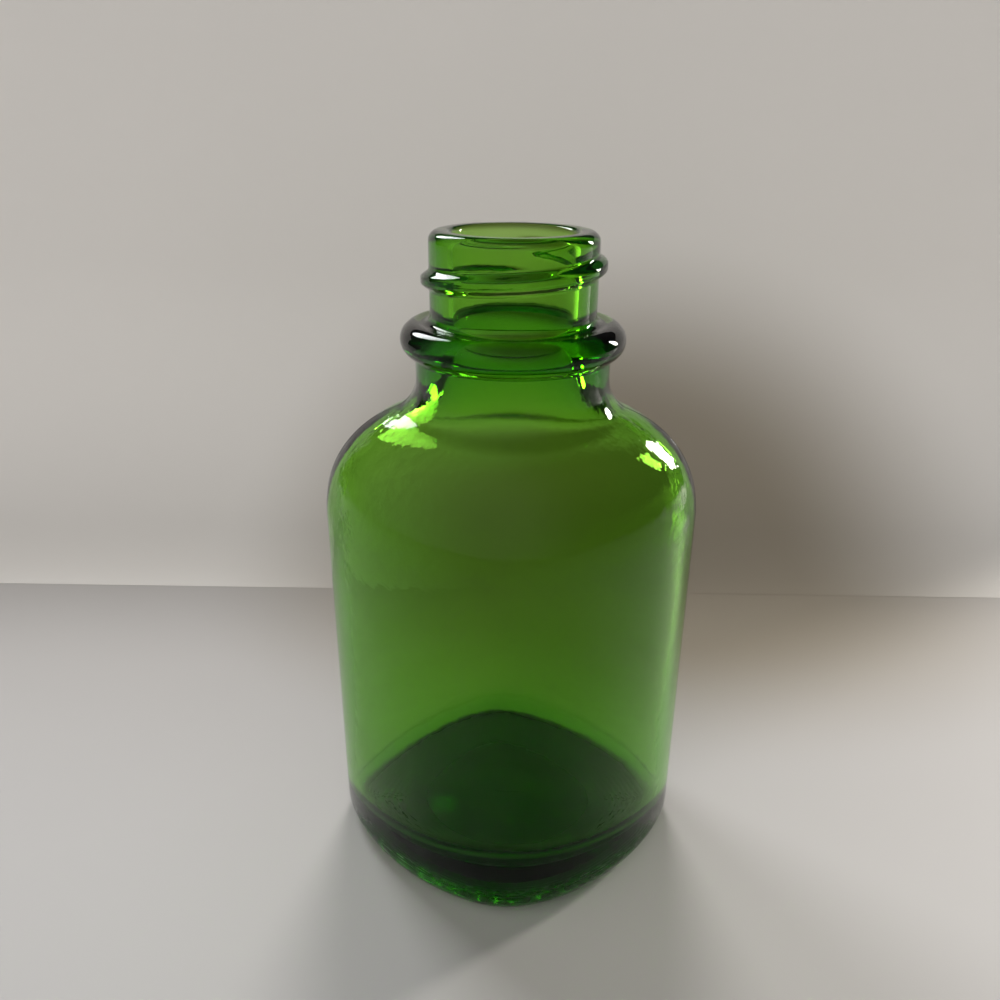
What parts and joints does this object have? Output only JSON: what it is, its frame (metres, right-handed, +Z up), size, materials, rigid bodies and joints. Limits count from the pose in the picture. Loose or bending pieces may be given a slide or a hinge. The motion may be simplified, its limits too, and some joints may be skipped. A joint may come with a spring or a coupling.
{
  "type": "apothecary bottle",
  "caption": "Clear green glass apothecary bottle with a soft-cornered oval body, round shoulders, a collar and an open screw-thread mouth.",
  "frame": {"origin": "on the surface the bottle stands on, at the middle of its base", "axes": "+Z up along the bottle's axis, +X along its width, the broad front faces -Y"},
  "size_m": [0.062, 0.054, 0.109],
  "materials": {
    "green_glass": "smooth clear bottle glass"
  },
  "bodies": {
    "root": {"base": "green_glass", "heel": "green_glass", "body_front": "green_glass", "body_back": "green_glass", "shoulder_front": "green_glass", "shoulder_back": "green_glass", "neck": "green_glass", "collar": "green_glass", "finish": "green_glass", "lip": "green_glass"}
  },
  "joints": []
}
